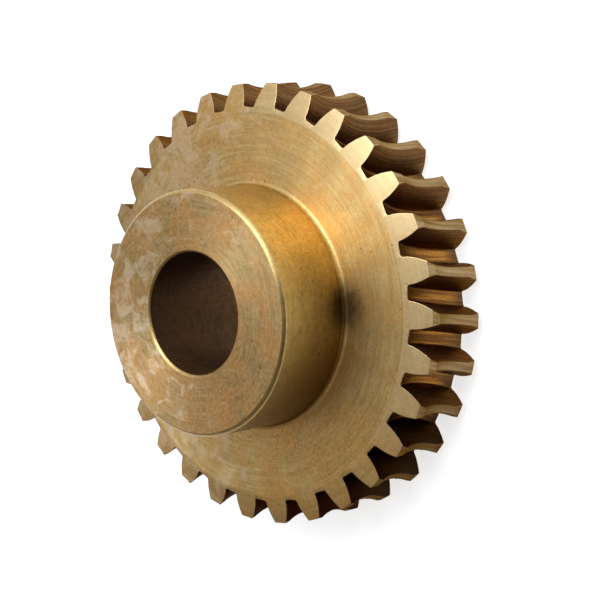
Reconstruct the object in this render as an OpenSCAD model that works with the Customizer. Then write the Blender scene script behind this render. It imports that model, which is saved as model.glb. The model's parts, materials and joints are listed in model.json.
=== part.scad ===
// Throated worm wheel, turned and hobbed from one piece of bronze.
// Millimetres. The bore axis is Z, the plain back face is at z = 0 and the hub points up.

/* [Teeth] */
// Number of teeth
teeth = 30; // [24:1:60]
// Pitch diameter for each tooth (the transverse module)
tooth_module = 2.5; // [1.8:0.01:4]
// Number of threads on the mating worm
worm_starts = 2; // [1:1:4]
// Pitch diameter of the mating worm
worm_pitch_d = 31.5; // [26:0.05:60]
// Pressure angle of the tooth flanks, in degrees
pressure_angle = 20; // [14.5:0.5:25]
// Extra width of each tooth space at the pitch circle
backlash = 0.1; // [0:0.05:0.4]
// Radius in the two corners at the bottom of a tooth space
root_corner_r = 0.45; // [0.1:0.05:0.8]
// Height of the flat tip lands above the lowest part of the throat
land_rise = 0.85; // [0.3:0.01:1.5]

/* [Rim] */
// Width across the two flat side faces
face_w = 16; // [10:0.05:20]
// How far each side of a tooth is set back at its tip
side_bevel = 1.5; // [0.2:0.05:2]
// How far inside the tooth spaces the side bevel starts
bevel_inset = 1.1; // [0.2:0.05:2]

/* [Hub] */
// Diameter of the hub
hub_d = 44.5; // [30:0.05:54]
// Height of the hub above the side face
hub_h = 16; // [5:0.05:40]
// Chamfer on the hub's outer edge
hub_chamfer = 0.6; // [0.1:0.05:2]
// Fillet between the hub and the side face
hub_fillet_r = 1; // [0.3:0.05:3]

/* [Bore] */
// Diameter of the bore
bore_d = 22; // [10:0.05:36]
// Chamfer at both mouths of the bore
bore_chamfer = 0.4; // [0.1:0.05:1.5]

/* [Hidden] */
$fn = 180;

// A tool reaches this far past the metal that it cuts
over = 1;

// Tooth heights in modules: tip to pitch circle, and pitch circle to root
ADDENDUM = 1;
DEDENDUM = 1.1;

// Straight steps that stand for the curved parts of a profile
FLANK_STEPS = 4;
CORNER_STEPS = 2;
FILLET_STEPS = 6;

// The tooth spaces are cut in this many passes, so that no two cut together lie side by side
PASSES = 5;

length = face_w + hub_h;
mid_z = face_w / 2;
pitch_r = teeth * tooth_module / 2;
base_r = pitch_r * cos(pressure_angle);
root_r = pitch_r - DEDENDUM * tooth_module;

// The worm's axis crosses the wheel at this distance, square to the wheel's axis
centre_distance = pitch_r + worm_pitch_d / 2;
lead_angle = atan(worm_starts * tooth_module / worm_pitch_d);

// Rings around the worm's axis: the throat follows its root, the spaces follow its tips
throat_r = worm_pitch_d / 2 - ADDENDUM * tooth_module;
space_r = centre_distance - root_r;

tip_r = pitch_r + ADDENDUM * tooth_module + land_rise;
side_root_r = centre_distance - sqrt(space_r * space_r - mid_z * mid_z);
bevel_r = side_root_r - bevel_inset;

// Arc round the worm's axis that clears both sides of the rim
space_sweep = 2 * atan((mid_z + over) / cos(lead_angle) / (centre_distance - tip_r));

// Angle between the radius to a point of an involute and the start of that involute
function involute(angle) = tan(angle) * 180 / PI - angle;

// Half the angle that one tooth takes up at radius r of the wheel
function tooth_half_angle(r) =
    90 / teeth + involute(pressure_angle)
    - involute(acos(min(1, base_r / r)))
    - backlash / 2 / pitch_r * 180 / PI;

// A point on the side of a tooth space, as distance from the worm's axis and half width
function flank_point(r) =
    let (half = 180 / teeth - tooth_half_angle(r))
    [centre_distance - r * cos(half), r * sin(half)];

// Points on an arc around a centre, from one angle to another
function arc(centre, radius, from, to, steps) = [
    for (i = [0 : steps])
        let (angle = from + (to - from) * i / steps)
        centre + radius * [cos(angle), sin(angle)]
];

function mirrored(points) = [
    for (i = [len(points) - 1 : -1 : 0]) [points[i][0], -points[i][1]]
];

// One side of a tooth space, from above the tooth tips down to the middle of its bottom
function space_side() =
    let (
        top_r = centre_distance - throat_r + over + land_rise,
        foot_r = root_r + root_corner_r,
        foot = flank_point(foot_r),
        corner = [space_r - root_corner_r, foot[1] - root_corner_r]
    )
    concat(
        [for (i = [0 : FLANK_STEPS - 1]) flank_point(top_r + (foot_r - top_r) * i / FLANK_STEPS)],
        arc(corner, root_corner_r, 90, 0, CORNER_STEPS)
    );

// Half section of the turned blank, before the throat and the teeth are cut
function blank_profile() = concat(
    [
        [0, 0],
        [bevel_r, 0],
        [tip_r, side_bevel],
        [tip_r, face_w - side_bevel],
        [bevel_r, face_w]
    ],
    arc([hub_d / 2 + hub_fillet_r, face_w + hub_fillet_r], hub_fillet_r, 270, 180, FILLET_STEPS),
    [
        [hub_d / 2, length - hub_chamfer],
        [hub_d / 2 - hub_chamfer, length],
        [0, length]
    ]
);

module blank() {
    rotate_extrude() polygon(blank_profile());
}

// The blank with its rim hollowed, so that the tips wrap round the worm
module throated_blank() {
    difference() {
        blank();
        translate([0, 0, mid_z])
            rotate_extrude()
                translate([centre_distance, 0])
                    circle(r = throat_r);
    }
}

module bore() {
    mouth_r = bore_d / 2 + bore_chamfer;
    translate([0, 0, -over]) cylinder(d = bore_d, h = length + 2 * over);
    for (end = [0, 1])
        translate([0, 0, end * length])
            mirror([0, 0, end])
                translate([0, 0, -over])
                    cylinder(r1 = mouth_r + over, r2 = bore_d / 2, h = over + bore_chamfer);
}

// One tooth space, swept round the worm's axis and tilted to the worm's lead
module tooth_space() {
    translate([centre_distance, 0, mid_z])
        rotate([90 - lead_angle, 0, 0])
            rotate(180 - space_sweep / 2)
                rotate_extrude(angle = space_sweep)
                    polygon(concat(space_side(), mirrored(space_side())));
}

// The rim with the tooth spaces of this pass and all the later ones cut out
module cut_rim(pass = 0) {
    difference() {
        if (pass < PASSES - 1)
            cut_rim(pass + 1);
        else
            throated_blank();
        for (i = [pass : PASSES : teeth - 1])
            rotate(i * 360 / teeth) tooth_space();
    }
}

module worm_wheel() {
    color([0.73, 0.58, 0.34])
        difference() {
            cut_rim();
            bore();
        }
}

worm_wheel();
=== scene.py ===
# %% [markdown]
# # A bronze worm wheel
#
# A worm wheel is turned from one casting and its teeth are cut by a hob, a tool of the same
# shape as the worm that it will run with. So every surface is round either the wheel's own
# axis, which is the axis of the bore, or the worm's axis, which crosses it at a distance.
#
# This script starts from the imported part, which fixes the size and place of everything, and
# models the same wheel again with a fine mesh and softly broken edges. The edges matter: real
# metal never ends in a perfectly sharp corner, and a thin bright line along each edge is what
# makes it look like metal.

# %% Load the frame
import json
import math
import bpy
from mathutils import Matrix, Vector


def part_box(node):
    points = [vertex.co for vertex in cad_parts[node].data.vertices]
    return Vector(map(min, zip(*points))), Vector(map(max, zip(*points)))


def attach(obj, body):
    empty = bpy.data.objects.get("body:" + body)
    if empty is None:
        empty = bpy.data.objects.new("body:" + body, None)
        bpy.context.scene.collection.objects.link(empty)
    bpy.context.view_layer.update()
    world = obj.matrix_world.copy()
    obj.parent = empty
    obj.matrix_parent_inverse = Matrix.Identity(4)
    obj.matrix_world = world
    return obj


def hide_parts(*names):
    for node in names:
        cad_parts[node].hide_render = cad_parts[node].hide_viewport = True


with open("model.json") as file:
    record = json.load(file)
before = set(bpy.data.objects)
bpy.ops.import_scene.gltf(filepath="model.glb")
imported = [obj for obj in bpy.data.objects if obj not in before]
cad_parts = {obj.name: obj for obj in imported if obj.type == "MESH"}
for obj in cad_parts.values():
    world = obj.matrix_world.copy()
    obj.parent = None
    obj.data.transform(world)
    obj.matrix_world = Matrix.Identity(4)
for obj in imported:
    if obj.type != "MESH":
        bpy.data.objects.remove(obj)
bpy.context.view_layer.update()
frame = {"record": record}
MM = 0.001
low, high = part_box("worm_wheel")
print("The wheel's box in mm:", [round(v / MM, 2) for v in high - low])

# %% [markdown]
# ## The wheel's sizes
#
# A gear has few driving sizes. The module is the pitch diameter for each tooth, and the heights
# of the teeth are counted in it. The overall height, the tip radius and the bore are read from
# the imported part, and the rest are the same values as in the part's own source.

# %% Sizes
TEETH = 30
MODULE = 2.5 * MM
WORM_STARTS = 2
WORM_PITCH_R = 15.75 * MM
PRESSURE_ANGLE = math.radians(20)
BACKLASH = 0.1 * MM
ROOT_CORNER_R = 0.45 * MM
LAND_RISE = 0.85 * MM
DEDENDUM = 1.1

FACE_W = 16 * MM
SIDE_BEVEL = 1.5 * MM
BEVEL_INSET = 1.1 * MM
HUB_R = 22.25 * MM
HUB_CHAMFER = 0.6 * MM
HUB_FILLET_R = 1.0 * MM
BORE_CHAMFER = 0.4 * MM

bore_mount = next(m for m in frame["record"]["mounts"] if m["name"] == "bore")
bore_r = bore_mount["dims"]["r_mm"] * MM
length = high.z - low.z
mid_z = FACE_W / 2
pitch_r = TEETH * MODULE / 2
base_r = pitch_r * math.cos(PRESSURE_ANGLE)
root_r = pitch_r - DEDENDUM * MODULE
tip_r = pitch_r + MODULE + LAND_RISE
worm_distance = pitch_r + WORM_PITCH_R
throat_r = WORM_PITCH_R - MODULE
space_r = worm_distance - root_r
side_root_r = worm_distance - math.sqrt(space_r ** 2 - mid_z ** 2)
bevel_r = side_root_r - BEVEL_INSET
lead_angle = math.atan(WORM_STARTS * MODULE / (2 * WORM_PITCH_R))
print(f"Pitch radius {pitch_r / MM:.2f} mm, tip radius {tip_r / MM:.2f} mm, "
      f"lead angle {math.degrees(lead_angle):.2f} degrees")

# %% [markdown]
# ## The camera
#
# The photograph looks down on the hub from about 47 degrees above the side faces, and the
# picture is turned so that the hub points left. The lens is long, which keeps the circles
# close to true ellipses. The camera is placed on a sphere round the point that it looks at.

# %% Camera
LOOK_AT = Vector((-4.07, -4.94, 10.16)) * MM
LOOK_FROM_AZIMUTH = math.radians(-127.68)
LOOK_FROM_ELEVATION = math.radians(47.61)
LOOK_DISTANCE = 353.1 * MM
LOOK_ROLL = math.radians(-97.86)
LENS = 114.8
NEAREST_SEEN = 10 * MM


def sphere_point(azimuth, elevation, distance):
    """A point at a compass angle and a height angle round the origin."""
    flat = distance * math.cos(elevation)
    height = distance * math.sin(elevation)
    return Vector((flat * math.cos(azimuth), flat * math.sin(azimuth), height))


def aim(thing, spot, target, roll=0.0):
    """Puts a camera or lamp at a spot, looking at a target, turned round its own line of sight."""
    turn = (target - spot).to_track_quat("-Z", "Y").to_matrix().to_4x4()
    thing.matrix_world = Matrix.Translation(spot) @ turn @ Matrix.Rotation(roll, 4, "Z")


camera = bpy.data.objects.new("Camera", bpy.data.cameras.new("Camera"))
bpy.context.scene.collection.objects.link(camera)
bpy.context.scene.camera = camera
camera.data.lens = LENS
camera.data.clip_start = NEAREST_SEEN
camera_spot = LOOK_AT + sphere_point(LOOK_FROM_AZIMUTH, LOOK_FROM_ELEVATION, LOOK_DISTANCE)
aim(camera, camera_spot, LOOK_AT, LOOK_ROLL)
print("The camera stands", round(LOOK_DISTANCE / MM), "mm from the wheel")

# %% [markdown]
# ## Drawing a half section and spinning it
#
# A lathe makes round forms, and so does Blender's spin operator: a half section is drawn beside
# the axis and spun once round it. The section is drawn as by hand, one corner after another,
# by extruding a vertex until it is back at its start. Arcs are worked out by a small function,
# so that the throat and the fillet keep their true radius.

# %% Helpers for drawing and spinning
SAME_SPOT = 0.001 * MM


def arc(centre, radius, start, end, steps):
    """Points on an arc in the section plane, as distance from the axis and height."""
    points = []
    for i in range(steps + 1):
        angle = start + (end - start) * i / steps
        points.append((centre[0] + radius * math.cos(angle), centre[1] + radius * math.sin(angle)))
    return points


def draw_outline(name, points):
    """Draws a closed outline in the XZ plane and leaves it open for editing."""
    bpy.ops.object.select_all(action="DESELECT")
    bpy.ops.mesh.primitive_plane_add(size=1 * MM, location=(points[0][0], 0, points[0][1]))
    piece = bpy.context.active_object
    piece.name = name
    bpy.ops.object.transform_apply(location=True)
    bpy.ops.object.mode_set(mode="EDIT")
    bpy.ops.mesh.select_all(action="SELECT")
    bpy.ops.mesh.merge(type="CENTER")
    for here, there in zip(points, points[1:] + points[:1]):
        step = (there[0] - here[0], 0, there[1] - here[1])
        bpy.ops.mesh.extrude_region_move(TRANSFORM_OT_translate={"value": step})
    return piece


def spin_outline(piece, angle, steps):
    """Spins the outline round the Z axis, closes it and points its faces outwards."""
    bpy.ops.mesh.select_all(action="SELECT")
    bpy.ops.mesh.spin(steps=steps, angle=angle, center=(0, 0, 0), axis=(0, 0, 1))
    bpy.ops.mesh.select_all(action="SELECT")
    bpy.ops.mesh.remove_doubles(threshold=SAME_SPOT)
    bpy.ops.mesh.fill_holes(sides=0)
    bpy.ops.mesh.select_all(action="SELECT")
    bpy.ops.mesh.normals_make_consistent(inside=False)
    bpy.ops.object.mode_set(mode="OBJECT")
    print(piece.name, "has", len(piece.data.polygons), "faces")


# %% [markdown]
# ## The turned blank
#
# The blank has the bore, the plain back face, the two bevels that take the sides of the teeth
# back, the narrow tip lands with the hollow throat between them, the front face, the fillet
# and the hub. Each corner of the half section is one edge of the finished wheel. It could be
# built from cylinders instead, but then the throat and the fillet would need cuts of their own.

# %% The blank
BLANK_STEPS = 240
THROAT_STEPS = 24
FILLET_STEPS = 8
QUARTER = math.pi / 2
mouth_r = bore_r + BORE_CHAMFER
throat_end = math.pi - math.acos((worm_distance - tip_r) / throat_r)

blank_section = [(bore_r, BORE_CHAMFER), (mouth_r, 0), (bevel_r, 0), (tip_r, SIDE_BEVEL)]
blank_section += arc((worm_distance, mid_z), throat_r, -throat_end, throat_end - 4 * QUARTER,
                     THROAT_STEPS)
blank_section += [(tip_r, FACE_W - SIDE_BEVEL), (bevel_r, FACE_W)]
blank_section += arc((HUB_R + HUB_FILLET_R, FACE_W + HUB_FILLET_R), HUB_FILLET_R,
                     3 * QUARTER, 2 * QUARTER, FILLET_STEPS)
blank_section += [(HUB_R, length - HUB_CHAMFER), (HUB_R - HUB_CHAMFER, length),
                  (mouth_r, length), (bore_r, length - BORE_CHAMFER)]
wheel = draw_outline("bronze_wheel", blank_section)
spin_outline(wheel, 4 * QUARTER, BLANK_STEPS)

# %% [markdown]
# ## One tooth space
#
# A hob's tooth passes through the rim on an arc round the worm's axis. Its outline is the space
# between two teeth: two involute flanks that open outwards, a rounded corner at the foot of
# each, and a bottom. The outline is spun through a part of a turn round the worm's axis, and
# the piece is then tilted by the worm's lead, because the thread crosses the rim at a slant.

# %% The shape of the space
FLANK_STEPS = 9
CORNER_STEPS = 5
REACH = 1 * MM


def involute(angle):
    """Angle between the radius to a point of an involute and the involute's start."""
    return math.tan(angle) - angle


def tooth_half_angle(r):
    """Half the angle that one tooth takes up at a radius of the wheel."""
    return (QUARTER / TEETH + involute(PRESSURE_ANGLE)
            - involute(math.acos(min(1, base_r / r))) - BACKLASH / 2 / pitch_r)


def flank_point(r):
    """A point on the flank, as distance from the worm's axis and half width of the space."""
    half = 2 * QUARTER / TEETH - tooth_half_angle(r)
    return worm_distance - r * math.cos(half), r * math.sin(half)


foot_r = root_r + ROOT_CORNER_R
foot = flank_point(foot_r)
top_r = worm_distance - throat_r + LAND_RISE + REACH
space_side = [flank_point(top_r + (foot_r - top_r) * i / FLANK_STEPS) for i in range(FLANK_STEPS)]
space_side += arc((space_r - ROOT_CORNER_R, foot[1] - ROOT_CORNER_R), ROOT_CORNER_R,
                  QUARTER, 0, CORNER_STEPS)
space_section = [(-x, z) for x, z in space_side] + [(-x, -z) for x, z in reversed(space_side)]
print(f"The space is {2 * space_side[0][1] / MM:.2f} mm wide above the tips")

# %% [markdown]
# The outline was drawn beside the Z axis, because the spin runs round that axis. So the arc is
# made there, and the piece is then tilted and moved out to the worm's axis in one go.

# %% The cutter for one space
SPACE_STEPS = 32
space_sweep = 2 * math.atan((mid_z + REACH) / math.cos(lead_angle) / (worm_distance - tip_r))
hob_tooth = draw_outline("hob_tooth", space_section)
bpy.ops.mesh.select_all(action="SELECT")
bpy.ops.transform.rotate(value=-space_sweep / 2, orient_axis="Z", center_override=(0, 0, 0))
spin_outline(hob_tooth, space_sweep, SPACE_STEPS)
tilt = Matrix.Rotation(QUARTER - lead_angle, 4, "X")
hob_tooth.data.transform(Matrix.Translation((worm_distance, 0, mid_z)) @ tilt)
print("It sweeps through", round(math.degrees(space_sweep)), "degrees")

# %% [markdown]
# ## Cutting all the spaces
#
# The same space repeats for every tooth, so its mesh is copied round the wheel, the copies are
# joined, and one Boolean cuts them all. Each kind of surface gets a material slot of its own
# first: the blank's faces by their place, and the faces that the cutter leaves by the cutter.

# %% Material slots
SIDE, HUB_END, HUB_SIDE, RIM, BORE, HOBBED = range(6)
finishes = [bpy.data.materials.new(name) for name in (
    "side_bronze", "hub_end_bronze", "hub_side_bronze", "rim_bronze", "bore_bronze",
    "hobbed_bronze")]
for piece in (wheel, hob_tooth):
    for finish in finishes:
        piece.data.materials.append(finish)
for face in hob_tooth.data.polygons:
    face.material_index = HOBBED
print("The wheel has", len(finishes), "finishes")

# %% [markdown]
# A face's normal tells which way it faces. Its height is 0 on an upright wall, 1 on a level
# face and 0.71 on a chamfer, so two limits sort the walls, the chamfers and the level faces.

# %% Finishes of the blank
STEEP = 0.7
LEVEL = 0.9


def finish_at(spot, normal):
    """The slot for a face of the blank, from its place and the way that it faces."""
    upright = abs(normal.z) < STEEP
    if upright and math.hypot(spot.x, spot.y) < mouth_r:
        return BORE
    if spot.z > length - HUB_CHAMFER:
        return HUB_END if abs(normal.z) > LEVEL else HUB_SIDE
    if upright:
        return HUB_SIDE if spot.z > FACE_W else RIM
    return SIDE


for face in wheel.data.polygons:
    face.material_index = finish_at(face.center, face.normal)
print("Faces of the bore:", sum(f.material_index == BORE for f in wheel.data.polygons))

# %% [markdown]
# Every copy gets a mesh of its own, turned by an equal part of a full turn. Joined, they are a
# ring of 30 cutters that don't touch each other.

# %% Copies round the wheel
bpy.ops.object.select_all(action="DESELECT")
for i in range(TEETH):
    copy = hob_tooth.copy()
    copy.data = hob_tooth.data.copy()
    copy.data.transform(Matrix.Rotation(4 * QUARTER * i / TEETH, 4, "Z"))
    bpy.context.collection.objects.link(copy)
    copy.select_set(True)
bpy.data.objects.remove(hob_tooth)
cutter = bpy.context.selected_objects[0]
bpy.context.view_layer.objects.active = cutter
bpy.ops.object.join()
print("The cutter has", len(cutter.data.polygons), "faces")

# %% [markdown]
# The cut leaves a few slivers where a cutter's edge runs close to a corner of the blank. They
# would stick out when the edges are bevelled, so corners that all but touch are merged.

# %% The cut
SMALLEST_EDGE = 0.05 * MM
bpy.context.view_layer.objects.active = wheel
spaces = wheel.modifiers.new("Spaces", "BOOLEAN")
spaces.operation = "DIFFERENCE"
spaces.solver = "MANIFOLD"
spaces.object = cutter
bpy.ops.object.modifier_apply(modifier="Spaces")
bpy.data.objects.remove(cutter)
bpy.ops.object.mode_set(mode="EDIT")
bpy.ops.mesh.select_all(action="SELECT")
bpy.ops.mesh.remove_doubles(threshold=SMALLEST_EDGE)
bpy.ops.mesh.dissolve_degenerate(threshold=SMALLEST_EDGE)
bpy.ops.object.mode_set(mode="OBJECT")
print("The wheel has", len(wheel.data.polygons), "faces")

# %% [markdown]
# ## Broken edges
#
# After hobbing, each edge is broken with a file or by tumbling. A narrow bevel does that on
# every edge sharper than a set angle, and leaves the round surfaces alone. The faces are then
# shaded smoothly up to a wider angle, which takes in the bevels, and weighted by their area, so
# that the wide flat faces stay flat right up to the thin bevels.

# %% Bevel and smooth shading
EDGE_BREAK = 0.14 * MM
EDGE_STEPS = 2
SHARP = math.radians(24)
SMOOTH = math.radians(40)
edges = wheel.modifiers.new("Edges", "BEVEL")
edges.width = EDGE_BREAK
edges.segments = EDGE_STEPS
edges.limit_method = "ANGLE"
edges.angle_limit = SHARP
edges.use_clamp_overlap = False
bpy.ops.object.modifier_apply(modifier="Edges")

bpy.ops.object.select_all(action="DESELECT")
wheel.select_set(True)
bpy.ops.object.shade_smooth_by_angle(angle=SMOOTH)
flats = wheel.modifiers.new("Flats", "WEIGHTED_NORMAL")
flats.keep_sharp = True
bpy.ops.object.modifier_apply(modifier="Flats")
print("With its edges broken it has", len(wheel.data.polygons), "faces")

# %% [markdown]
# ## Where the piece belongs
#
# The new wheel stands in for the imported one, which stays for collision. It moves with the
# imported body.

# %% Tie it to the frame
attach(wheel, "root")
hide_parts("worm_wheel")
print(wheel.name, "stands in for the packed wheel")

# %% [markdown]
# ## Helpers for materials
#
# Every finish is made of nodes: boxes that each do one small thing to a number, a place or a
# colour. In Blender they are joined by hand. Here small helpers add and join them, so that the
# cells below read like a list of what goes in. The first ones add a node, do a sum on numbers
# or on places, turn a number into a mask between 0 and 1, and make a random pattern.

# %% Helpers for nodes
def add_node(tree, kind, values=None, **settings):
    """Adds a shader node, sets its properties, and sets or links its inputs."""
    made = tree.nodes.new("ShaderNode" + kind)
    for name, value in settings.items():
        setattr(made, name, value)
    for name, value in (values or {}).items():
        if isinstance(value, bpy.types.NodeSocket):
            tree.links.new(value, made.inputs[name])
        else:
            made.inputs[name].default_value = value
    return made


def calc(tree, operation, first, second=0.0):
    """One sum on numbers."""
    return add_node(tree, "Math", {0: first, 1: second}, operation=operation).outputs[0]


def vector_calc(tree, operation, first, second):
    """One sum on places. A distance or a dot product is a number, the others are places."""
    made = add_node(tree, "VectorMath", {0: first, 1: second}, operation=operation)
    return made.outputs["Value" if operation in ("DISTANCE", "DOT_PRODUCT") else "Vector"]


def fade(tree, value, low, high):
    """0 below the low value, 1 above the high one, and smooth in between."""
    return add_node(tree, "MapRange", {"Value": value, "From Min": low, "From Max": high},
                    interpolation_type="SMOOTHSTEP").outputs[0]


def noise(tree, place, scale, detail, roughness=0.5, distortion=0.0):
    """A random number that changes softly from place to place."""
    return add_node(tree, "TexNoise", {
        "Vector": place, "Scale": scale, "Detail": detail, "Roughness": roughness,
        "Distortion": distortion}).outputs["Fac"]


# %% [markdown]
# A colour is built up as a painter does it, with one thin coat over another. Each coat has a
# mask that says where it lies, an amount and a colour.

# %% Helpers for coats of colour
def tint(tree, amount, colour, under):
    """Lays a colour over another by an amount."""
    mixed = add_node(tree, "Mix", data_type="RGBA")
    for name, value in (("Factor_Float", amount), ("A_Color", under), ("B_Color", colour)):
        socket = next(s for s in mixed.inputs if s.identifier == name)
        if isinstance(value, bpy.types.NodeSocket):
            tree.links.new(value, socket)
        else:
            socket.default_value = value
    return next(s for s in mixed.outputs if s.identifier == "Result_Color")


def lay(tree, colour, *coats):
    """Lays coats over a colour, one after another, each by its mask times its amount."""
    for mask, amount, top in coats:
        colour = tint(tree, calc(tree, "MULTIPLY", mask, amount), top, colour)
    return colour


# %% [markdown]
# The wheel is round, so most patterns are looked up by the distance from an axis, by height, or
# by the direction from the axis. A direction is put on a circle before a noise reads it, because
# an angle would jump from 360 degrees to 0 and show as a seam.

# %% Helpers for places on the wheel
def height_of(tree, place):
    """The height of a place above the wheel's back face."""
    return add_node(tree, "SeparateXYZ", {0: place}).outputs["Z"]


def long_side(tree, first, second):
    """The long side of a right triangle, from its two short ones."""
    return calc(tree, "SQRT", calc(tree, "ADD", calc(tree, "MULTIPLY", first, first),
                                   calc(tree, "MULTIPLY", second, second)))


def radius_of(tree, place):
    """The distance of a place from the wheel's axis."""
    split = add_node(tree, "SeparateXYZ", {0: place}).outputs
    return long_side(tree, split["X"], split["Y"])


def on_circle(tree, place, radius, height):
    """Moves a place straight out or in to a circle round the axis, at another height."""
    level = vector_calc(tree, "MULTIPLY", place, (1, 1, 0))
    way = add_node(tree, "VectorMath", {0: level}, operation="NORMALIZE").outputs["Vector"]
    circle = add_node(tree, "VectorMath", {0: way, "Scale": radius}, operation="SCALE")
    upwards = add_node(tree, "CombineXYZ", {"Z": height})
    return vector_calc(tree, "ADD", circle.outputs["Vector"], upwards.outputs["Vector"])


def distance_towards(tree, place, side):
    """How far a place lies from the axis towards one side, given as a compass angle."""
    return vector_calc(tree, "DOT_PRODUCT", place, sphere_point(side, 0, 1.0))


# %% [markdown]
# An effect that several finishes share is a node group: it is built once, with named inputs and
# outputs, and placed in each material with its own values.

# %% Helpers for node groups
def effect_group(name, numbers, masks):
    """Starts a group that takes a place and some numbers, and puts out masks."""
    tree = bpy.data.node_groups.new(name, "ShaderNodeTree")
    tree.interface.new_socket("Place", in_out="INPUT", socket_type="NodeSocketVector")
    for label, value in numbers.items():
        socket = tree.interface.new_socket(label, in_out="INPUT", socket_type="NodeSocketFloat")
        socket.default_value = value
    for label in masks:
        tree.interface.new_socket(label, in_out="OUTPUT", socket_type="NodeSocketFloat")
    given, result = tree.nodes.new("NodeGroupInput"), tree.nodes.new("NodeGroupOutput")
    return tree, given.outputs, result.inputs


def use_group(tree, name, place, **numbers):
    """Places a group in a material, with its own values."""
    made = tree.nodes.new("ShaderNodeGroup")
    made.node_tree = bpy.data.node_groups[name]
    tree.links.new(place, made.inputs["Place"])
    for label, value in numbers.items():
        made.inputs[label.capitalize()].default_value = value
    return made.outputs


# %% [markdown]
# ## Turning marks
#
# A lathe tool leaves fine rings round the axis. On a flat face they differ by their radius, and
# on the hub's side by their height, so a noise that only knows the sum of the two gives rings
# everywhere that a tool has passed. A second, slow noise makes them fade in and out, as wear
# and handling do. Cloths and fingers leave smears along the same rings. This noise is looked up
# on a circle, and its third number is the same sum, drawn out so that each smear is thin.

# %% The group for turning marks
WORN_SPOTS = 90.0
SMEARS = 110.0
SMEAR_CIRCLE = 30 * MM
SMEAR_THINNESS = 12.0

tree, given, result = effect_group("turning_marks", {"Spacing": 0.25 * MM}, ["Rings", "Smears"])
ring_place = calc(tree, "ADD", radius_of(tree, given["Place"]), height_of(tree, given["Place"]))
fine_rings = add_node(tree, "TexNoise", {
    "W": calc(tree, "DIVIDE", ring_place, given["Spacing"]), "Scale": 1.0, "Detail": 3.0,
    "Roughness": 0.7}, noise_dimensions="1D").outputs["Fac"]
kept = fade(tree, noise(tree, given["Place"], WORN_SPOTS, 3.0), 0.3, 0.6)
rings = calc(tree, "MULTIPLY", calc(tree, "SUBTRACT", fine_rings, 0.5), kept)
tree.links.new(calc(tree, "ADD", rings, 0.5), result["Rings"])

smear_place = on_circle(tree, given["Place"], SMEAR_CIRCLE,
                        calc(tree, "MULTIPLY", ring_place, SMEAR_THINNESS))
smears = noise(tree, smear_place, SMEARS, 5.0, roughness=0.62)
tree.links.new(fade(tree, smears, 0.4, 0.6), result["Smears"])
print("Turning marks have", len(tree.nodes), "nodes")

# %% [markdown]
# ## Mottling
#
# Cast bronze is never one colour. Handling, oil and air leave soft clouds and warm patches, with
# a fine grain and small flecks on top. All four are the same noise at other sizes. Two of them
# are looked up far away from the wheel, so that they don't follow the shapes of the others.

# %% The group for mottling
FAR_OFF = (0.31, 0.17, 0.4)

tree, given, result = effect_group("mottling", {"Size": 6 * MM},
                                   ["Clouds", "Grain", "Warmth", "Fleck"])
per_size = calc(tree, "DIVIDE", 1.0, given["Size"])
elsewhere = vector_calc(tree, "ADD", given["Place"], FAR_OFF)
for label, place, finer, detail, roughness, distortion in (
        ("Clouds", given["Place"], 1.0, 5.0, 0.62, 0.4),
        ("Grain", given["Place"], 9.0, 4.0, 0.65, 0.0),
        ("Warmth", elsewhere, 0.7, 4.0, 0.60, 0.6),
        ("Fleck", elsewhere, 5.0, 5.0, 0.70, 0.0)):
    pattern = noise(tree, place, calc(tree, "MULTIPLY", per_size, finer), detail, roughness,
                    distortion)
    tree.links.new(fade(tree, pattern, 0.36, 0.64), result[label])
print("Mottling has", len(tree.nodes), "nodes")

# %% [markdown]
# ## Pale oxide
#
# Where the wheel was held or stored damp, a thin greyish-pink film has formed. It lies in
# torn patches that gather on one side of the wheel, and it is duller than the metal. A coarse
# noise gives the patches and a fine one tears their borders. The nearer a place is to the damp
# side, the more is added to them, and only what rises above a limit is film.

# %% The group for pale oxide
OXIDE_SIDE = math.radians(42)

tree, given, result = effect_group("pale_oxide", {"Size": 5 * MM, "Amount": 0.5}, ["Film"])
per_size = calc(tree, "DIVIDE", 1.0, given["Size"])
patches = noise(tree, given["Place"], per_size, 6.0, roughness=0.6, distortion=0.8)
torn = noise(tree, given["Place"], calc(tree, "MULTIPLY", per_size, 6.0), 4.0)
thickness = calc(tree, "ADD", patches, calc(tree, "MULTIPLY", torn, 0.25))
gathered = fade(tree, distance_towards(tree, given["Place"], OXIDE_SIDE), -12 * MM, 22 * MM)
more = calc(tree, "MULTIPLY", calc(tree, "MULTIPLY", gathered, 0.22), given["Amount"])
tree.links.new(fade(tree, calc(tree, "ADD", thickness, more), 0.72, 0.95), result["Film"])
print("Oxide gathers towards", round(math.degrees(OXIDE_SIDE)), "degrees")

# %% [markdown]
# ## Small pits
#
# Castings have small pores that the lathe opens. They are rare, dark and under half a
# millimetre wide. A cell pattern has one middle in each cell, which makes a round pit, and each
# cell's random colour tells whether it has one.

# %% The group for pits
PIT_SPREAD = 2.2 * MM

tree, given, result = effect_group("pits", {"Spread": PIT_SPREAD}, ["Pits"])
cells = add_node(tree, "TexVoronoi", {
    "Vector": given["Place"], "Scale": calc(tree, "DIVIDE", 1.0, given["Spread"]),
    "Randomness": 1.0})
close = calc(tree, "SUBTRACT", 1.0, fade(tree, cells.outputs["Distance"], 0.05, 0.16))
chance = add_node(tree, "SeparateXYZ", {0: cells.outputs["Color"]}).outputs["X"]
tree.links.new(calc(tree, "MULTIPLY", close, fade(tree, chance, 0.68, 0.8)), result["Pits"])
print("There is room for a pit every", round(PIT_SPREAD / MM, 1), "mm")
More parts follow.
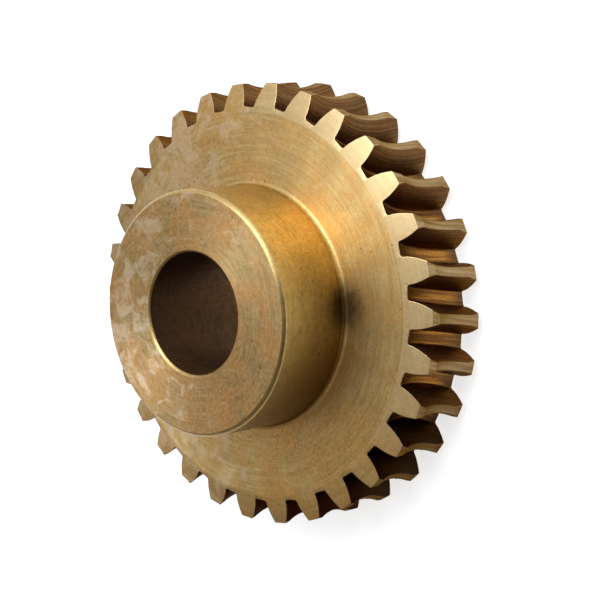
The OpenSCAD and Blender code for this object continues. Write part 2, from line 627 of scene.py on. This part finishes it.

# %% [markdown]
# ## Painted shade in the corner
#
# The corner between the hub and the web is painted dark on one side, as painted shade. It
# fades out evenly in all directions, so it is worked out from the distance to its middle alone,
# with a little noise on its border.

# %% The group for the painted corner shade
PAINTED_SHADE_SIDE = math.radians(-134)
PAINTED_SHADE_GRAIN = 700.0
PAINTED_SHADE_RAGGED = 3 * MM
painted_shade_spot = sphere_point(PAINTED_SHADE_SIDE, 0, HUB_R) + Vector((0, 0, FACE_W))

tree, given, result = effect_group("painted_corner_shade", {"Reach": 5 * MM}, ["Smudge"])
ragged = calc(tree, "SUBTRACT", noise(tree, given["Place"], PAINTED_SHADE_GRAIN, 4.0), 0.5)
away = calc(tree, "ADD", vector_calc(tree, "DISTANCE", given["Place"], painted_shade_spot),
            calc(tree, "MULTIPLY", ragged, PAINTED_SHADE_RAGGED))
gone = fade(tree, calc(tree, "DIVIDE", away, given["Reach"]), 0.2, 1.0)
tree.links.new(calc(tree, "SUBTRACT", 1.0, gone), result["Smudge"])
print("The smudge lies", round(painted_shade_spot.length / MM, 1), "mm from the origin")

# %% [markdown]
# ## Turned bronze
#
# The side faces, the hub and the bore were turned. Fine rings spread each highlight across
# themselves, which a metal shader can do directly: its highlight is stretched, and a tangent
# that runs round the axis tells it which way the rings go. The colours are laid one over
# another: clouds and smears of shade and patches of warmth over the base, then a fine speckle,
# then the rings, the film of oxide, the pits and a painted shade in the corner by the hub. Each
# surface has its own colours, but they are all made the same way.

# %% Start and relief of a bronze finish
def start_finish(finish):
    """Clears a material's nodes and gives back its tree, its shader and the place socket."""
    finish.use_nodes = True
    tree = finish.node_tree
    tree.nodes.clear()
    shader = add_node(tree, "BsdfPrincipled")
    add_node(tree, "OutputMaterial", {"Surface": shader.outputs["BSDF"]})
    place = add_node(tree, "TexCoord").outputs["Object"]
    return tree, shader, place


def add_relief(tree, shader, height, depth):
    """Makes the light fall as if the surface rose and fell with a pattern."""
    bump = add_node(tree, "Bump", {"Height": height, "Distance": depth, "Strength": 1.0})
    tree.links.new(bump.outputs["Normal"], shader.inputs["Normal"])


# %% The turned finish
PALE = (0.65, 0.53, 0.38, 1)
DARK = (0.07, 0.04, 0.015, 1)
ACROSS_THE_RINGS = 0.25
TURNED_DEPTH = 0.02 * MM


def turned_finish(finish, base, shade, warm, light, roughness, stretch, film, speck):
    """Makes one turned bronze finish, and gives back its tree, shader, place and colour."""
    tree, shader, place = start_finish(finish)
    marks = use_group(tree, "turning_marks", place, spacing=0.22 * MM)
    mottle = use_group(tree, "mottling", place, size=5 * MM)
    oxide = use_group(tree, "pale_oxide", place, size=3.5 * MM, amount=1.0)
    pits = use_group(tree, "pits", place, spread=PIT_SPREAD)
    corner_shade_paint = use_group(tree, "painted_corner_shade", place, reach=6 * MM)

    colour = lay(tree, base,
                 (mottle["Clouds"], 0.4, shade),
                 (marks["Smears"], 0.75, shade),
                 (mottle["Warmth"], 0.7, warm),
                 (mottle["Grain"], speck, DARK),
                 (mottle["Fleck"], speck, light),
                 (fade(tree, marks["Rings"], 0.46, 0.66), 0.3, light),
                 (oxide["Film"], film, PALE),
                 (pits["Pits"], 0.5, DARK),
                 # Painted shade: the corner between the hub and the web is darkened in the colour.
                 (corner_shade_paint["Smudge"], 0.85, DARK))
    tree.links.new(colour, shader.inputs["Base Color"])

    metal = calc(tree, "SUBTRACT", 1.0, calc(tree, "MULTIPLY", oxide["Film"], 0.35 * film))
    tree.links.new(metal, shader.inputs["Metallic"])
    rough = calc(tree, "ADD", roughness, calc(tree, "MULTIPLY", mottle["Grain"], 0.10))
    rough = calc(tree, "ADD", rough, calc(tree, "MULTIPLY", oxide["Film"], 0.2 * film))
    tree.links.new(rough, shader.inputs["Roughness"])

    height = calc(tree, "ADD", calc(tree, "MULTIPLY", marks["Rings"], 0.8),
                  calc(tree, "MULTIPLY", mottle["Grain"], 0.25))
    add_relief(tree, shader, calc(tree, "SUBTRACT", height, pits["Pits"]), TURNED_DEPTH)
    around = add_node(tree, "Tangent", direction_type="RADIAL", axis="Z")
    tree.links.new(around.outputs["Tangent"], shader.inputs["Tangent"])
    shader.inputs["Anisotropic"].default_value = stretch
    shader.inputs["Anisotropic Rotation"].default_value = ACROSS_THE_RINGS
    print(finish.name, "has", len(tree.nodes), "nodes")
    return tree, shader, place, colour


# %% [markdown]
# The hub's end is a little darker than the side faces and has more of the pale film.

# %% The side faces and the hub's end
side = turned_finish(finishes[SIDE], base=(0.575, 0.40, 0.165, 1), shade=(0.37, 0.25, 0.09, 1),
                     warm=(0.53, 0.28, 0.08, 1), light=(0.74, 0.54, 0.26, 1),
                     roughness=0.40, stretch=0.7, film=0.42, speck=0.15)
turned_finish(finishes[HUB_END], base=(0.505, 0.345, 0.145, 1), shade=(0.29, 0.19, 0.07, 1),
              warm=(0.54, 0.265, 0.08, 1), light=(0.68, 0.51, 0.29, 1), roughness=0.40,
              stretch=0.7, film=0.58, speck=0.22)

# %% [markdown]
# The teeth's end faces were cut a little finer than the web inside them. On one side they are
# painted paler, as a painted highlight, and on the far side browner, as painted shade. They
# begin at a sharp circle, so their colour comes in over a very short distance.

# %% Painted highlight and shade on the tooth faces
HIGHLIGHT_SIDE = math.radians(-112)
PAINTED_HIGHLIGHT = (0.60, 0.47, 0.27, 1)
PAINTED_TOOTH_SHADE = (0.30, 0.19, 0.08, 1)

tree, shader, place, colour = side
teeth_here = fade(tree, radius_of(tree, place), bevel_r - 0.1 * MM, bevel_r + 0.1 * MM)
towards_highlight = distance_towards(tree, place, HIGHLIGHT_SIDE)
paler = calc(tree, "MULTIPLY", teeth_here, fade(tree, towards_highlight, 5 * MM, 30 * MM))
far_side = fade(tree, calc(tree, "MULTIPLY", towards_highlight, -1.0), 0, 25 * MM)
browner = calc(tree, "MULTIPLY", teeth_here, far_side)
# A painted highlight on the tooth faces on one side, and painted shade on the far side.
colour = lay(tree, colour, (paler, 0.5, PAINTED_HIGHLIGHT), (browner, 0.45, PAINTED_TOOTH_SHADE))
tree.links.new(colour, shader.inputs["Base Color"])
print("The paler faces begin", round(bevel_r / MM, 1), "mm from the axis")

# %% [markdown]
# The hub's side is the smoothest surface and the yellowest one. One side of it is painted
# brown, as painted shade, which thins out at the hub's end, where the chamfer is tinted a duller
# tan. The bore is painted dark, as painted shade inside the hole. Both are turned, so they start
# as the side faces do.

# %% The hub's side and the bore
SHADE_PAINTED_SIDE = math.radians(140)
PAINTED_HUB_SHADE = (0.15, 0.085, 0.02, 1)
CHAMFER_TAN = (0.45, 0.33, 0.17, 1)


def shade_painted_part(tree, place, low, high):
    """How far a place lies towards the side where shade is painted, between two distances."""
    return fade(tree, distance_towards(tree, place, SHADE_PAINTED_SIDE), low, high)


tree, shader, place, colour = turned_finish(
    finishes[HUB_SIDE], base=(0.53, 0.345, 0.08, 1), shade=(0.33, 0.21, 0.045, 1),
    warm=(0.55, 0.32, 0.07, 1), light=(0.70, 0.50, 0.20, 1), roughness=0.29, stretch=0.4,
    film=0.15, speck=0.3)
# Painted shade on one side of the hub's side, thinner at its end, and a duller tan on the chamfer.
at_end = fade(tree, height_of(tree, place), length - 1.2 * MM, length - 0.5 * MM)
shade_left = calc(tree, "SUBTRACT", 0.85, calc(tree, "MULTIPLY", at_end, 0.5))
colour = lay(tree, colour, (shade_painted_part(tree, place, 0, 16 * MM), shade_left, PAINTED_HUB_SHADE),
             (at_end, 0.4, CHAMFER_TAN))
tree.links.new(colour, shader.inputs["Base Color"])

# The bore's colours are painted dark, as painted shade inside the hole.
turned_finish(finishes[BORE], base=(0.13, 0.07, 0.028, 1), shade=(0.08, 0.042, 0.018, 1),
              warm=(0.17, 0.075, 0.025, 1), light=(0.20, 0.12, 0.06, 1), roughness=0.42,
              stretch=0.5, film=0.0, speck=0.3)

# %% [markdown]
# ## Hobbing streaks
#
# The hob leaves long fine streaks from one side of the rim to the other, along each space. They
# are a noise that is looked up by two numbers: the direction from the wheel's axis, turned a
# little with height so that it follows the slanted spaces, and the distance from the worm's
# axis, which the cutter kept. That distance can be given less weight, for the tips and the
# throat, where the streaks run straight across the rim. A little of the height is added, so
# that each streak ends after a while.

# %% The group for hobbing streaks
STREAK_DRIFT = 0.03

tree, given, result = effect_group("hobbing_streaks", {"Width": 0.5 * MM, "Depth": 1.0},
                                   ["Streaks", "Fresh"])
from_middle = calc(tree, "SUBTRACT", height_of(tree, given["Place"]), mid_z)
slant = calc(tree, "MULTIPLY", from_middle, -math.tan(lead_angle) / pitch_r)
upright = add_node(tree, "VectorRotate", {"Vector": given["Place"], "Angle": slant},
                   rotation_type="Z_AXIS").outputs["Vector"]
inwards = calc(tree, "SUBTRACT", worm_distance, radius_of(tree, given["Place"]))
from_worm = long_side(tree, inwards, from_middle)
layer = calc(tree, "ADD", calc(tree, "MULTIPLY", from_worm, given["Depth"]),
             calc(tree, "MULTIPLY", from_middle, STREAK_DRIFT))
drawn_out = on_circle(tree, upright, pitch_r, layer)
thin = calc(tree, "DIVIDE", 1.0, given["Width"])
streaks = noise(tree, drawn_out, thin, 3.0, roughness=0.6)
fresh = noise(tree, drawn_out, calc(tree, "MULTIPLY", thin, 0.4), 2.0)
tree.links.new(fade(tree, streaks, 0.3, 0.7), result["Streaks"])
tree.links.new(fade(tree, fresh, 0.4, 0.62), result["Fresh"])
print("Hobbing streaks have", len(tree.nodes), "nodes")

# %% [markdown]
# ## Hobbed bronze
#
# The tooth spaces are brown from cutting oil, and painted darker than the turned faces, which
# stands in for the shade between the teeth. The bottoms are copper and amber where the metal is
# fresh, and painted brighter towards the back face as a painted reflection. One side of the
# wheel has its spaces painted almost black, as painted shade. Both cut surfaces, the spaces and
# the rim, get their gloss and their relief from the streaks, so a function does that for both.

# %% Gloss and relief of a cut surface
EDGE_TINT = (0.40, 0.33, 0.25, 1)


def cut_finish(tree, shader, colour, hobbing, mottle, roughness, streaky, depth):
    """Gives a cut surface its colour, and a gloss and relief that follow its streaks."""
    tree.links.new(colour, shader.inputs["Base Color"])
    shader.inputs["Metallic"].default_value = 1.0
    shader.inputs["Specular Tint"].default_value = EDGE_TINT
    rough = calc(tree, "ADD", roughness, calc(tree, "MULTIPLY", hobbing["Streaks"], streaky))
    tree.links.new(rough, shader.inputs["Roughness"])
    height = calc(tree, "ADD", hobbing["Streaks"], calc(tree, "MULTIPLY", mottle["Grain"], 0.4))
    add_relief(tree, shader, height, depth)


# %% Hobbed bronze
PAINTED_SPACE_SHADE = (0.020, 0.012, 0.007, 1)
BROWN = (0.205, 0.115, 0.046, 1)
UMBER = (0.085, 0.042, 0.019, 1)
COPPER = (0.19, 0.085, 0.022, 1)
AMBER = (0.62, 0.285, 0.055, 1)
RUSSET = (0.24, 0.085, 0.03, 1)

tree, shader, place = start_finish(finishes[HOBBED])
hobbing = use_group(tree, "hobbing_streaks", place, width=0.3 * MM, depth=1.0)
mottle = use_group(tree, "mottling", place, size=5 * MM)
deep = calc(tree, "SUBTRACT", 1.0, fade(tree, radius_of(tree, place), root_r + 0.5 * MM,
                                        root_r + 1.6 * MM))
near_back = calc(tree, "SUBTRACT", 1.0, fade(tree, height_of(tree, place), 5 * MM, 15.5 * MM))
# Painted reflection: the bottoms are painted brighter towards the back face and darker towards the
# front.
painted_reflection = calc(tree, "ADD", 0.25, calc(tree, "MULTIPLY", near_back, 0.75))
bottom = tint(tree, painted_reflection, tint(tree, hobbing["Fresh"], AMBER, COPPER), UMBER)
colour = lay(tree, BROWN,
             (mottle["Warmth"], 0.5, RUSSET),
             (hobbing["Streaks"], 0.65, UMBER),
             (deep, 0.9, bottom),
             (mottle["Grain"], 0.3, UMBER),
             # Painted shade: the spaces on one side of the wheel are painted almost black.
             (shade_painted_part(tree, place, 12 * MM, 28 * MM), 0.94, PAINTED_SPACE_SHADE))
cut_finish(tree, shader, colour, hobbing, mottle, roughness=0.34, streaky=0.14,
           depth=0.02 * MM)
print("Hobbed bronze has", len(tree.nodes), "nodes")

# %% [markdown]
# ## The rim
#
# The tips and the throat between them are greyer than the side faces. They carry the same long
# streaks as the spaces, some of them pale and some of them olive. On one side they are painted
# darker, as painted shade.

# %% Rim bronze
GREY = (0.30, 0.19, 0.078, 1)
OLIVE = (0.16, 0.10, 0.035, 1)
ASH = (0.52, 0.38, 0.22, 1)

tree, shader, place = start_finish(finishes[RIM])
hobbing = use_group(tree, "hobbing_streaks", place, width=0.25 * MM, depth=0.1)
mottle = use_group(tree, "mottling", place, size=4 * MM)
colour = lay(tree, GREY,
             (hobbing["Streaks"], 0.6, OLIVE),
             (hobbing["Fresh"], 0.5, ASH),
             (mottle["Grain"], 0.25, OLIVE),
             # Painted shade: the rim is painted darker on one side of the wheel.
             (shade_painted_part(tree, place, 6 * MM, 30 * MM), 0.7, UMBER))
cut_finish(tree, shader, colour, hobbing, mottle, roughness=0.42, streaky=0.12,
           depth=0.015 * MM)
print("Rim bronze has", len(tree.nodes), "nodes")

# %% [markdown]
# ## Floor
#
# The wheel lies on its plain back face on a pale floor, as on a table in a studio. The floor is
# grey to the light, so that it throws little of it on the wheel from below, and it glows only
# for the camera and in reflections. There it looks nearly white, and the wheel's shadow stays
# on it.

# %% The floor
FLOOR_SIZE = 6
FLOOR_GAP = 0.05 * MM
FLOOR_GREY = (0.5, 0.5, 0.5, 1)
FLOOR_GLOW = 0.7

bpy.ops.object.select_all(action="DESELECT")
bpy.ops.mesh.primitive_plane_add(size=FLOOR_SIZE, location=(0, 0, -FLOOR_GAP))
floor = bpy.context.active_object
floor.name = "floor"
floor_paint = bpy.data.materials.new("floor_paint")
floor.data.materials.append(floor_paint)
floor_paint.use_nodes = True
tree = floor_paint.node_tree
tree.nodes.clear()
rays = add_node(tree, "LightPath").outputs
seen = calc(tree, "MAXIMUM", rays["Is Camera Ray"],
            calc(tree, "MAXIMUM", rays["Is Glossy Ray"], rays["Is Transmission Ray"]))
paint = add_node(tree, "BsdfDiffuse", {"Color": FLOOR_GREY})
glow = add_node(tree, "Emission", {"Color": (1, 1, 1, 1),
                                   "Strength": calc(tree, "MULTIPLY", seen, FLOOR_GLOW)})
both = add_node(tree, "AddShader", {0: paint.outputs[0], 1: glow.outputs[0]})
add_node(tree, "OutputMaterial", {"Surface": both.outputs[0]})
print("The floor is", FLOOR_SIZE, "m wide")

# %% [markdown]
# ## Surroundings
#
# Metal shows what stands round it. Here that is a soft studio: bright overhead on one side, and
# dim on the far side. The brightness depends only on how nearly a direction points to the
# middle of the bright part, and a ramp of colours gives it, so that it has no hard edge. One
# dim patch on the near side shows as a dark spot in the corner between the hub and the side
# face.

# %% The surroundings
BRIGHT_SIDE = Vector((0.45, -0.42, 0.79)).normalized()
DIM_PATCH = Vector((-0.60, -0.38, 0.70)).normalized()
DIM_PATCH_EDGE = math.cos(math.radians(42))
DIM_PATCH_CORE = math.cos(math.radians(18))
DIM_PATCH_DEPTH = 0.75
STUDIO = ((0.0, (0.22, 0.19, 0.15)), (1.0, (2.10, 2.35, 2.75)),
          (0.62, (0.23, 0.20, 0.16)), (0.77, (0.95, 0.92, 0.85)),
          (0.88, (1.10, 1.13, 1.15)), (0.94, (1.50, 1.65, 1.85)))

world = bpy.data.worlds.new("studio")
bpy.context.scene.world = world
world.use_nodes = True
tree = world.node_tree
tree.nodes.clear()
direction = add_node(tree, "TexCoord").outputs["Generated"]
nearness = calc(tree, "ADD", vector_calc(tree, "DOT_PRODUCT", direction, BRIGHT_SIDE), 1.0)
light = add_node(tree, "ValToRGB", {"Fac": calc(tree, "MULTIPLY", nearness, 0.5)})
ramp = light.color_ramp.elements
for spot, level in STUDIO:
    stop = next((s for s in ramp if s.position == spot), None) or ramp.new(spot)
    stop.color = (*level, 1)
dim = fade(tree, vector_calc(tree, "DOT_PRODUCT", direction, DIM_PATCH), DIM_PATCH_EDGE,
           DIM_PATCH_CORE)
strength = calc(tree, "SUBTRACT", 1.0, calc(tree, "MULTIPLY", dim, DIM_PATCH_DEPTH))
background = add_node(tree, "Background", {"Color": light.outputs["Color"],
                                           "Strength": strength})
add_node(tree, "OutputWorld", {"Surface": background.outputs[0]})
print("The studio has", len(ramp), "levels of light")

# %% [markdown]
# A soft square lamp in the bright part gives the thin highlights along the edges. Its size and
# its distance set how soft they are, and its power how bright. The view is set to Standard, so
# that a colour renders about as it is written.

# %% The lamp
LAMP_WAY = Vector((0.33, -0.50, 0.80)).normalized()
LAMP_DISTANCE = 1.1
LAMP_SIZE = 0.6
LAMP_POWER = 7

softbox = bpy.data.lights.new("key", "AREA")
softbox.size = LAMP_SIZE
softbox.energy = LAMP_POWER
lamp = bpy.data.objects.new("key", softbox)
bpy.context.scene.collection.objects.link(lamp)
aim(lamp, LAMP_WAY * LAMP_DISTANCE, Vector((0, 0, mid_z)))
bpy.context.scene.view_settings.view_transform = "Standard"
print("The lamp stands", LAMP_DISTANCE, "m away")
